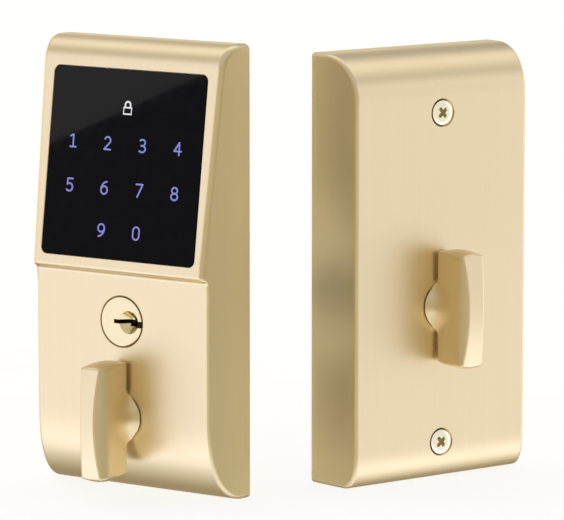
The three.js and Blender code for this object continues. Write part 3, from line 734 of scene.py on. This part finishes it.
def turn_field(ends):
    """The signed field of a turn about its axis, in mm, with depth from the face behind it."""
    rear, rear_half = TURN_REAR
    ridge, ridge_half = TURN_RIDGE

    def bar(x, depth, z):
        back_t = np.clip((ridge - depth) / (ridge - rear), -0.5, 1.2)
        flank = ridge_half - (ridge_half - rear_half) * np.abs(back_t) ** 1.5
        chamfer = ridge_half - (depth - ridge) * TURN_CHAMFER
        side = (np.abs(x) - soft_min(flank, chamfer, 1.8)) * 0.93
        crown = ends + TURN_BULGE * (1 - (z / 20) ** 2)
        shape = soft_max(side, depth - crown, 0.4)
        shape = soft_max(shape, rear - depth, 0.5)
        reach = np.where(depth < CROWN_DEPTH, *CROWN_REACH)
        lift = np.clip(1 - ((depth - CROWN_DEPTH) / reach) ** 2, 0, 1) * np.clip(1 - (x / 5.5) ** 2, 0, 1)
        return soft_max(shape, np.abs(z) - TURN_HALF - TURN_END_CROWN * lift, 0.5)

    def hub(x, depth, z):
        radius = HUB_RADIUS - HUB_NECK * np.clip((depth - HUB_REAR) / HUB_FRONT, 0, 1) ** 0.8
        shape = (np.hypot(x, z) - radius) * 0.85
        shape = soft_max(shape, depth - HUB_FRONT, 1.0)
        return soft_max(shape, HUB_REAR - depth, 0.4)

    return lambda x, depth, z: soft_min(bar(x, depth, z), hub(x, depth, z), 3.0)


def surface_cells(field, low, high, step):
    """The grid cells that the zero level passes through: a point in each, and its quads of cells."""
    axes = [np.arange(a, b + step, step) for a, b in zip(low, high)]
    grid = np.stack(np.meshgrid(*axes, indexing="ij"), axis=-1)
    value = field(grid[..., 0], grid[..., 1], grid[..., 2])
    inside = value < 0
    counts = np.array(value.shape) - 1
    total = np.zeros((*counts, 3))
    hits = np.zeros(tuple(counts))
    quads = []
    for axis in range(3):
        a, b = (axis + 1) % 3, (axis + 2) % 3
        first = [slice(None)] * 3
        second = [slice(None)] * 3
        first[axis], second[axis] = slice(0, -1), slice(1, None)
        change = inside[tuple(first)] != inside[tuple(second)]
        for index in map(tuple, np.argwhere(change)):
            other = tuple(c + (k == axis) for k, c in enumerate(index))
            t = value[index] / (value[index] - value[other])
            point = grid[index] + (grid[other] - grid[index]) * t
            around = []
            for da, db in ((0, 0), (1, 0), (1, 1), (0, 1)):
                cell = list(index)
                cell[a] -= da
                cell[b] -= db
                around.append(tuple(cell))
            for cell in around:
                total[cell] += point
                hits[cell] += 1
            quads.append(around if inside[index] else around[::-1])
    cells = [tuple(cell) for cell in np.argwhere(hits > 0)]
    return {cell: total[cell] / hits[cell] for cell in cells}, quads


def settled(points, field, step):
    """Points pulled onto the zero level of the field along its slope."""
    nudge = 1e-3 * np.eye(3)
    for _ in range(4):
        at = field(*points.T)
        slope = np.stack([field(*(points + n).T) - field(*(points - n).T) for n in nudge], axis=-1) / 2e-3
        length = np.maximum((slope ** 2).sum(axis=1), 0.05)
        move = slope * (at / length)[:, None]
        points = points - np.clip(move, -step / 2, step / 2)
    return points


def surface_net(field, low, high, step):
    """A quad mesh of the zero level of a field."""
    cells, quads = surface_cells(field, low, high, step)
    bm = bmesh.new()
    points = settled(np.array(list(cells.values())), field, step)
    verts = dict(zip(cells, [bm.verts.new(p) for p in points]))
    for around in quads:
        bm.faces.new([verts[cell] for cell in around])
    bmesh.ops.recalc_face_normals(bm, faces=bm.faces)
    return bm


def build_turn(body, case, cover, ends, axis_z, material):
    """A thumb turn; cover is the depth of its case's face, and ends that of the bar's ends over it."""
    margin = 0.9
    half_x, half_z = HUB_RADIUS + margin, TURN_HALF + TURN_END_CROWN + margin
    low = (-half_x, -0.2, -half_z)
    high = (half_x, ends + TURN_BULGE + margin, half_z)
    turn = surface_net(turn_field(ends), low, high, TURN_CELL)
    bmesh.ops.translate(turn, verts=turn.verts, vec=(0, cover, axis_z))
    piece(body + "_fine", turn, case, body, material, [body], crease=60, weighted=False)


# ---- Keypad: glass, glowing digits and a generic padlock sign
DIGIT_ROWS = ((26.7, "1234"), (42.7, "5678"), (58.0, " 90 "))  # distance below the glass's top
DIGIT_PITCH = 15.5
STROKE = 0.62
ICON_DROP = 13.6
MARK_LIFT = 0.03


def bow(centre_x, centre_z, half_x, half_z, start, end, steps=20):
    """Points (x, z) along part of an ellipse, angles in degrees."""
    angles = np.radians(np.linspace(start, end, steps + 1))
    return [(centre_x + half_x * math.cos(a), centre_z + half_z * math.sin(a)) for a in angles]


# Each digit as centre lines about its own middle, in mm; a nine is a six turned round.
SIX = [
    bow(1.35, -0.7, 2.75, 2.9, 97, 178),
    bow(0, -0.85, 1.4, 1.4, 0, 360),
]
DIGIT_LINES = {
    "0": [bow(0, 0.95, 1.35, 1.3, 0, 180) + bow(0, -0.95, 1.35, 1.3, 180, 360) + [(1.35, 0.95)]],
    "1": [[(-1.1, 1.6), (0.1, 2.2)], [(0.15, 2.2), (0.15, -2.2)], [(-1.1, -2.25), (1.4, -2.25)]],
    "2": [
        bow(-0.05, 0.95, 1.3, 1.3, 155, -25) + [(-1.35, -2.2)],
        [(-1.35, -2.25), (1.4, -2.25)],
    ],
    "3": [
        bow(-0.15, 1.15, 1.25, 1.1, 140, -90),
        [(-0.15, 0.05), (-0.6, 0.05)],
        bow(-0.15, -1.1, 1.45, 1.15, 90, -140),
    ],
    "4": [[(0.6, -2.25), (0.6, 2.2)], [(0.55, 2.2), (-1.5, -0.85)], [(-1.5, -0.85), (1.5, -0.85)]],
    "5": [
        [(1.25, 2.25), (-0.95, 2.25)],
        [(-0.95, 2.2), (-1.05, 0.1)],
        bow(-0.15, -0.85, 1.45, 1.4, 128, -140),
    ],
    "6": SIX,
    "7": [[(-1.4, 2.25), (1.4, 2.25)], [(1.4, 2.2), (-0.7, -2.25)]],
    "8": [bow(0, 1.15, 1.2, 1.1, 0, 360), bow(0, -1.05, 1.4, 1.2, 0, 360)],
    "9": [[(-x, -z) for x, z in line] for line in SIX],
}


def stroke_rows(points, closed, half):
    """Pairs of points to the left and right of a path, drawn in at its ends if it is open."""
    caps = [(half * math.cos(a), half * math.sin(a)) for a in (0.2, 0.6, 1.1)]
    last = len(points) - 1
    rows = []
    for index, point in enumerate(points):
        before = points[index - 1] if index or closed else point
        after = points[(index + 1) % len(points)] if index < last or closed else point
        along = (after - before).normalized()
        side = Vector((-along.y, along.x))
        spots = [(point, half)]
        if index == 0 and not closed:
            spots = [(point - along * ahead, reach) for ahead, reach in caps] + spots
        if index == last and not closed:
            spots += [(point + along * ahead, reach) for ahead, reach in reversed(caps)]
        rows += [(spot - side * reach, spot + side * reach) for spot, reach in spots]
    return rows


def round_stroke(path, width):
    """A thin raised line along (x, z) points, with round ends unless it closes on itself."""
    points = [Vector(p) for p in path]
    closed = (points[0] - points[-1]).length < 1e-6
    if closed:
        points.pop()
    bm = bmesh.new()
    rings = []
    for left, right in stroke_rows(points, closed, width / 2):
        corners = ((left, MARK_LIFT), (right, MARK_LIFT), (right, -MARK_LIFT), (left, -MARK_LIFT))
        rings.append([bm.verts.new((p.x, depth, p.y)) for p, depth in corners])
    if closed:
        rings.append(rings[0])
    grid_faces(bm, rings, closed=True)
    if not closed:
        bm.faces.new(rings[0])
        bm.faces.new(rings[-1])
    bmesh.ops.recalc_face_normals(bm, faces=bm.faces)
    return bm


def drawn(lines, x, z, name):
    """One marking, its strokes joined into a single thin solid."""
    strokes = [round_stroke([(x + a, z + b) for a, b in line], STROKE) for line in lines]
    return carve(to_object(strokes[0], name), strokes[1:], "UNION")


PADLOCK_LINES = [
    [(-1.7, 0.1), (1.7, 0.1), (1.7, -2.2), (-1.7, -2.2), (-1.7, 0.1)],
    [(-1.15, 0.1), (-1.15, 1.0)] + bow(0, 1.1, 1.15, 1.15, 180, 0) + [(1.15, 0.1)],
]


def build_keypad():
    glass = soft_slab(glass_outline, -2.0, 0.0, 0.12)
    piece("keypad_glass", glass, OUTER, "cases", GLASS, ["touchscreen_glass"], KEYPAD)
    top = GLASS_HALF[1]
    for drop, characters in DIGIT_ROWS:
        for column, character in enumerate(characters):
            if character == " ":
                continue
            name = "digit_" + character
            digit = drawn(DIGIT_LINES[character], (column - 1.5) * DIGIT_PITCH, top - drop, name)
            piece(name, digit, OUTER, "cases", DIGIT_GLOW, (), KEYPAD, weighted=False)
    sign = drawn(PADLOCK_LINES, 0, top - ICON_DROP, "padlock_sign")
    piece("padlock_sign", sign, OUTER, "cases", ICON_GLOW, (), KEYPAD, weighted=False)


# ---- Key cylinder and screws
PLUG_FRONT = OUTER_FACE + 0.1


def keyway_tools():
    """The finger dimple beside the keyway, and the keyway's narrow and wide parts."""
    front, z = PLUG_FRONT, CYLINDER_Z
    dimple = turned([
        (0, front - 3.4), (1.0, front - 3.2), (2.6, front - 2.0), (4.0, front - 0.3),
        (4.2, front + 0.05), (4.2, front + 1), (0, front + 1),
    ], 3.3, z, 64)
    narrow = block(-3.3, 2.4, front - 22, front + 1, z - 0.75, z + 0.75)
    wide = block(2.2, 9.2, front - 22, front + 1, z - 1.7, z + 0.7)
    return [dimple, narrow, wide]


def build_key_plug():
    front, rim = PLUG_FRONT, PLUG_RADIUS
    plug = to_object(turned([
        (0, -7), (6.2, -7), (6.2, front - 1.6), (rim, front - 1.6), (rim, front - 0.3),
        (rim - 0.08, front - 0.12), (rim - 0.25, front - 0.03), (rim - 0.45, front), (0, front),
    ], 0, CYLINDER_Z, 96), "key_plug_face")
    carve(plug, keyway_tools())
    piece("key_plug_face", plug, OUTER, "key_plug", BRIGHT_BRASS, ["key_plug"])
    # A near-black block inside the keyway: painted shade that fills the slot's depth.
    shade_block = block(6.3, 8.8, front - 1.55, front - 1.15, CYLINDER_Z - 1.65, CYLINDER_Z + 0.65)
    piece("keyway_shade_block", shade_block, OUTER, "key_plug", KEYWAY_SHADE)


def build_cylinder_ring():
    """A dark brown ring at the bottom of the gap round the key plug: painted shade in the gap."""
    low, high = OUTER_FACE - 1.2, OUTER_FACE - 0.5
    inner, outer = PLUG_RADIUS + 0.07, PLUG_HOLE - 0.03
    ring = to_object(turned([(0, low), (outer, low), (outer, high), (0, high)], 0, CYLINDER_Z, 96), "ring")
    hole = turned([(0, low - 1), (inner, low - 1), (inner, high + 1), (0, high + 1)], 0, CYLINDER_Z, 96)
    piece("cylinder_ring", carve(ring, [hole]), OUTER, "cases", PAINTED_SHADE)


# The screws' cross recesses; the thinner crosses laid dark brown inside them are painted shade in the
# recesses.
RECESS_SECTIONS = ((-2.4, 0.8, 0.36), (-0.1, 2.4, 0.72), (0.5, 2.45, 0.74))
RECESS_SHADE_SECTIONS = ((-2.3, 0.7, 0.30), (-0.4, 2.2, 0.62))


def crossed(face, z, sections):
    """Two bars, crossed at about 45 degrees, from sections of (depth, half length, half width)."""
    bars = []
    for turn in (40, 130):
        cos, sin = math.cos(math.radians(turn)), math.sin(math.radians(turn))
        layers = []
        for depth, half, arm in sections:
            outline = rounded_outline(half, -arm, arm, arm * 0.95, 4)
            layers.append(([(a * cos - b * sin, z + a * sin + b * cos) for a, b in outline], face + depth))
        bars.append(stacked(layers))
    return bars


def screw_body(z):
    """A shank and a flat, slightly crowned head."""
    face = INNER_FACE - 0.05
    radius = SCREW_RADIUS
    profile = [(0, face - 16), (2, face - 16), (2, face - 3.0), (radius, face - 0.6), (radius, face - 0.25)]
    for k in range(1, 7):
        share = 1 - k / 6
        profile.append((radius * share, face - 0.1 + 0.15 * (1 - share ** 2)))
    return turned(profile, 0, z, 72)


def build_cover_screws():
    top = INNER_FACE + 0.1
    for name, z in zip(("cover_screw_top", "cover_screw_bottom"), COVER_SCREW_Z):
        screw = to_object(screw_body(z), name)
        carve(screw, crossed(top, z, RECESS_SECTIONS))
        piece(name + "_fine", screw, INNER, "cases", SCREW_BRASS, [name])
        # A dark brown cross inside each recess: painted shade.
        first, second = crossed(top, z, RECESS_SHADE_SECTIONS)
        painted_shade = carve(to_object(first, name), [second], "UNION")
        piece(name + "_tarnish", painted_shade, INNER, "cases", PAINTED_SHADE)


# ---- Backs: gaskets, bolt posts and the tailpiece
def build_gasket(name, case, half, low, high, window_low, window_high):
    """A foam sheet on a back, with a window round the door's bore; low and high are heights."""
    def outline(inset):
        return rounded_outline(half - inset, low + inset, high - inset, 2 - inset)

    window = rounded_outline(BORE_HALF, window_low, window_high, 10)
    gasket = to_object(soft_slab(outline, 0, 0.6, 0.15, 2), name)
    carve(gasket, [stacked([(window, -1), (window, 2)])])
    piece(name + "_fine", gasket, case, "cases", FOAM, [name])


def build_outer_gasket():
    z, inset = CYLINDER_Z, GASKET_INSET
    half = OUTER_HALF - GASKET_SIDE_INSET
    build_gasket("outer_gasket", OUTER, half, 4.2, OUTER_HEIGHT - inset, z - BORE_HALF, z + 37)


def build_inner_gasket():
    z, inset = TURN_Z["inner"], GASKET_INSET
    half = INNER_HALF - GASKET_SIDE_INSET
    build_gasket("inner_gasket", INNER, half, inset, INNER_HEIGHT - inset, z - 40, z + BORE_HALF)


def build_bolt_posts():
    end = BOLT_POST_END
    for index, x in enumerate((-BOLT_X, BOLT_X)):
        post = turned([
            (0, -6), (2.2, -6), (2.2, end + 0.4), (2.5, end), (3.7, end),
            (4, end + 0.3), (4, 2.7), (5.6, 2.7), (5.6, 4.2), (0, 4.2),
        ], x, CYLINDER_Z)
        name = f"bolt_post_{index + 1}"
        piece(name + "_fine", post, OUTER, "cases", STEEL, [name])


def build_tailpiece():
    z = CYLINDER_Z
    blade = to_object(block(-3.2, 3.2, -38, -12.6, z - 0.8, z + 0.8, 0.25), "tailpiece")
    disc = turned([(0, -13.6), (5.8, -13.6), (6, -13.4), (6, -12.5), (5.8, -12.3), (0, -12.3)], 0, z)
    carve(blade, [disc], "UNION")
    piece("tailpiece_fine", blade, OUTER, "tail_hub", STEEL, ["tailpiece"])


# ---- Everything else keeps its CAD shape and gets its slot's material
def dress_cad_nodes():
    for row in frame["record"]["subparts"]:
        node = frame["nodes"][row["node"]]
        node.data.materials.clear()
        node.data.materials.append(SLOT_LOOKS[row["material_slot"]])


# ---- Stage: floor, soft studio light and the camera
CAMERA_FROM_OUTER = (45.51, -1522.31, 307.68)  # from the outside case's door-face origin, in mm
CAMERA_DOWN = 8.40  # degrees below the horizon
CAMERA_LENS = 271.1  # mm on a 36 mm wide sensor

SHEEN_EDGE = ((-33.9, 5.2), (29.5, 33.2))  # where the softbox's edge shows on the glass, (x, z) in mm
SHEEN_DISTANCE = 1.2
SHEEN_SIZE = (1.2, 0.8)

# The softboxes beside the cases: where each stands, and its colour.
SIDE_LIGHT_ANGLE = 72  # degrees across
LEFT_LIGHT = ((-0.93, -0.36, -0.14), (0.67, 0.71, 0.94))
RIGHT_LIGHT = ((0.96, -0.28, -0.10), (0.50, 0.52, 0.66))
RIGHT_RIM_LIGHT = ((0.85, 0.52, 0.0), (0.35, 0.35, 0.38))

# How bright the studio is towards each side, each a linear colour.
STUDIO = {
    "side": (0.46, 0.41, 0.28),
    "right": (0.37, 0.33, 0.20),
    "right_rear": (0.78, 0.72, 0.55),
    "camera": (0.57, 0.50, 0.31),
    "left_back": (1.20, 1.08, 0.80),
    "right_back": (0.76, 0.71, 0.53),
    "shoulder": (0.62, 0.58, 0.52),
    "overhead": (1.28, 1.25, 1.22),
    "high_left": (0.56, 0.51, 0.45),
    "high_right": (0.40, 0.38, 0.37),
    "floor_camera": (1.08, 1.04, 0.96),
    "floor_left": (0.88, 0.86, 0.84),
    "floor_right": (1.20, 1.17, 1.13),
    "floor_back": (0.34, 0.29, 0.19),
}


def camera_place():
    return OUTER.matrix.translation + Vector(CAMERA_FROM_OUTER) * MM


def build_floor():
    """A white floor that glows a little, as a lit table does; only the camera sees it."""
    bm = bmesh.new()
    corners = [bm.verts.new((x, y, -0.0002)) for x, y in ((-6, -6), (6, -6), (6, 6), (-6, 6))]
    bm.faces.new(corners)
    floor = to_object(bm, "floor")
    nodes = Nodes("floor").set(Roughness=0.9, Emission_Color=(1, 1, 1, 1), Emission_Strength=0.78)
    nodes.tint(nodes.noise((3, 3, 3)), (0.26, 0.26, 0.26), (0.28, 0.28, 0.28))
    clear = nodes.add("ShaderNodeBsdfTransparent")
    mix = nodes.add("ShaderNodeMixShader")
    output = next(n for n in nodes.tree.nodes if n.type == "OUTPUT_MATERIAL")
    nodes.link(nodes.add("ShaderNodeLightPath").outputs["Is Camera Ray"], mix.inputs[0])
    nodes.link(clear.outputs[0], mix.inputs[1])
    nodes.link(nodes.shader.outputs[0], mix.inputs[2])
    nodes.link(mix.outputs[0], output.inputs["Surface"])
    floor.data.materials.append(nodes.material)


def build_glass_light():
    """A softbox that only the glass mirrors, with its lower edge running across the glass."""
    to_world = OUTER.matrix @ KEYPAD
    spots = [to_world @ Vector((x, 0, z)) for x, z in SHEEN_EDGE]
    normal = (to_world.to_3x3() @ Vector((0, -1, 0))).normalized()
    eye = camera_place()
    image = eye - 2 * normal * (eye - spots[0]).dot(normal)
    ends = [image + (spot - image) * (1 + SHEEN_DISTANCE / (spot - image).length) for spot in spots]
    centre = (ends[0] + ends[1]) / 2
    along = (ends[1] - ends[0]).normalized()
    away = centre - (spots[0] + spots[1]) / 2
    away = (away - along * away.dot(along)).normalized()
    up = away.cross(along)
    if up.z < 0:
        along, up = -along, -up
    data = bpy.data.lights.new("glass_softbox", "AREA")
    data.shape = "RECTANGLE"
    data.size, data.size_y = SHEEN_SIZE
    data.energy = 10
    axes = Matrix((along, up, away)).transposed().to_4x4()
    place = Matrix.Translation(centre + up * SHEEN_SIZE[1] / 2) @ axes
    add_light(data, place, [bpy.data.objects["keypad_glass"]])


def add_light(data, place, receivers):
    """Stands a light in the scene that shines on the given objects only."""
    light = bpy.data.objects.new(data.name, data)
    light.matrix_world = place
    bpy.context.scene.collection.objects.link(light)
    lit = bpy.data.collections.new(data.name + "_lights")
    for obj in receivers:
        lit.objects.link(obj)
    light.light_linking.receiver_collection = lit


def cases_on(side):
    """The meshes of the case standing on one side (-1 left, 1 right) of the row."""
    own = []
    for obj in bpy.context.scene.objects:
        if obj.type != "MESH" or obj.name == "floor":
            continue
        middle = sum((obj.matrix_world @ Vector(corner) for corner in obj.bound_box), Vector()) / 8
        if middle.x * side > 0:
            own.append(obj)
    return own


def build_side_light(name, towards, colour, side):
    """A broad, far softbox that lights only the case standing on one side."""
    data = bpy.data.lights.new(name, "SUN")
    data.angle = math.radians(SIDE_LIGHT_ANGLE)
    data.energy = 1.0
    data.color = colour
    place = Vector(towards).to_track_quat("Z", "Y").to_matrix().to_4x4()
    add_light(data, place, cases_on(side))


def studio_colour(fade):
    """The studio's colour in each direction: softboxes beside and over the cases, and a bright floor."""
    right = fade("Y", -0.10, 0.22, STUDIO["right"], STUDIO["right_rear"])
    side = fade("X", -0.3, 0.3, STUDIO["side"], right)
    front = fade("Y", -0.85, -0.40, STUDIO["camera"], side)
    back = fade("X", -0.3, 0.3, STUDIO["left_back"], STUDIO["right_back"])
    around = fade("Y", 0.12, 0.50, front, back)
    high_back = fade("X", -0.3, 0.3, STUDIO["high_left"], STUDIO["high_right"])
    shoulder = fade("Y", 0.3, 0.7, STUDIO["shoulder"], high_back)
    overhead = fade("Y", -0.08, 0.16, STUDIO["shoulder"], STUDIO["overhead"])
    overhead = fade("Y", 0.44, 0.66, overhead, high_back)
    above = fade("Z", 0.18, 0.48, around, shoulder)
    above = fade("Z", 0.60, 0.76, above, overhead)
    floor = fade("X", -0.3, 0.3, STUDIO["floor_left"], STUDIO["floor_right"])
    floor = fade("Y", -0.6, -0.25, STUDIO["floor_camera"], floor)
    below = fade("Y", -0.1, 0.38, floor, STUDIO["floor_back"])
    return fade("Z", -0.2, -0.5, above, below)


def build_world():
    """The studio's colours as the cases mirror them, with plain white behind for the camera."""
    world = bpy.data.worlds.new("studio")
    world.use_nodes = True
    tree = world.node_tree
    new, link = tree.nodes.new, tree.links.new
    direction = new("ShaderNodeTexCoord")
    parts = new("ShaderNodeSeparateXYZ")
    link(direction.outputs["Generated"], parts.inputs["Vector"])

    def blend(amount, first, second):
        """Mixes two colours, each a fixed one or another node's output."""
        node = new("ShaderNodeMix")
        node.data_type = "RGBA"
        for socket, value in ((node.inputs[6], first), (node.inputs[7], second)):
            if isinstance(value, tuple):
                socket.default_value = (*value, 1)
            else:
                link(value, socket)
        link(amount, node.inputs[0])
        return node.outputs[2]

    def fade(axis, start, end, first, second):
        """Goes from the first colour to the second as the direction's axis goes from start to end."""
        amount = new("ShaderNodeMapRange")
        amount.interpolation_type = "SMOOTHSTEP"
        amount.inputs["From Min"].default_value = start
        amount.inputs["From Max"].default_value = end
        link(parts.outputs[axis], amount.inputs["Value"])
        return blend(amount.outputs["Result"], first, second)

    camera_ray = new("ShaderNodeLightPath").outputs["Is Camera Ray"]
    seen = blend(camera_ray, studio_colour(fade), (1.0, 1.0, 1.0))
    link(seen, tree.nodes["Background"].inputs["Color"])
    bpy.context.scene.world = world


def build_camera():
    data = bpy.data.cameras.new("camera")
    data.sensor_width = 36
    data.lens = CAMERA_LENS
    data.clip_start = 0.1
    camera = bpy.data.objects.new("camera", data)
    camera.location = camera_place()
    camera.rotation_euler = (math.radians(90 - CAMERA_DOWN), 0, 0)
    bpy.context.scene.collection.objects.link(camera)
    bpy.context.scene.camera = camera


def build_stage():
    build_floor()
    bpy.context.scene.view_settings.view_transform = "Standard"
    build_world()
    build_glass_light()
    build_side_light("left_softbox", *LEFT_LIGHT, -1)
    build_side_light("right_softbox", *RIGHT_LIGHT, 1)
    build_side_light("right_rim_softbox", *RIGHT_RIM_LIGHT, 1)
    build_camera()


dress_cad_nodes()
build_outer_housing()
build_inner_housing()
build_turn("outside_turn", OUTER, OUTER_FACE, TURN_ENDS["outer"], TURN_Z["outer"], BRASS_OUTER)
build_turn("inside_turn", INNER, INNER_FACE, TURN_ENDS["inner"], TURN_Z["inner"], BRASS_INNER)
build_keypad()
build_key_plug()
build_cylinder_ring()
build_cover_screws()
build_outer_gasket()
build_bolt_posts()
build_tailpiece()
build_inner_gasket()
build_stage()
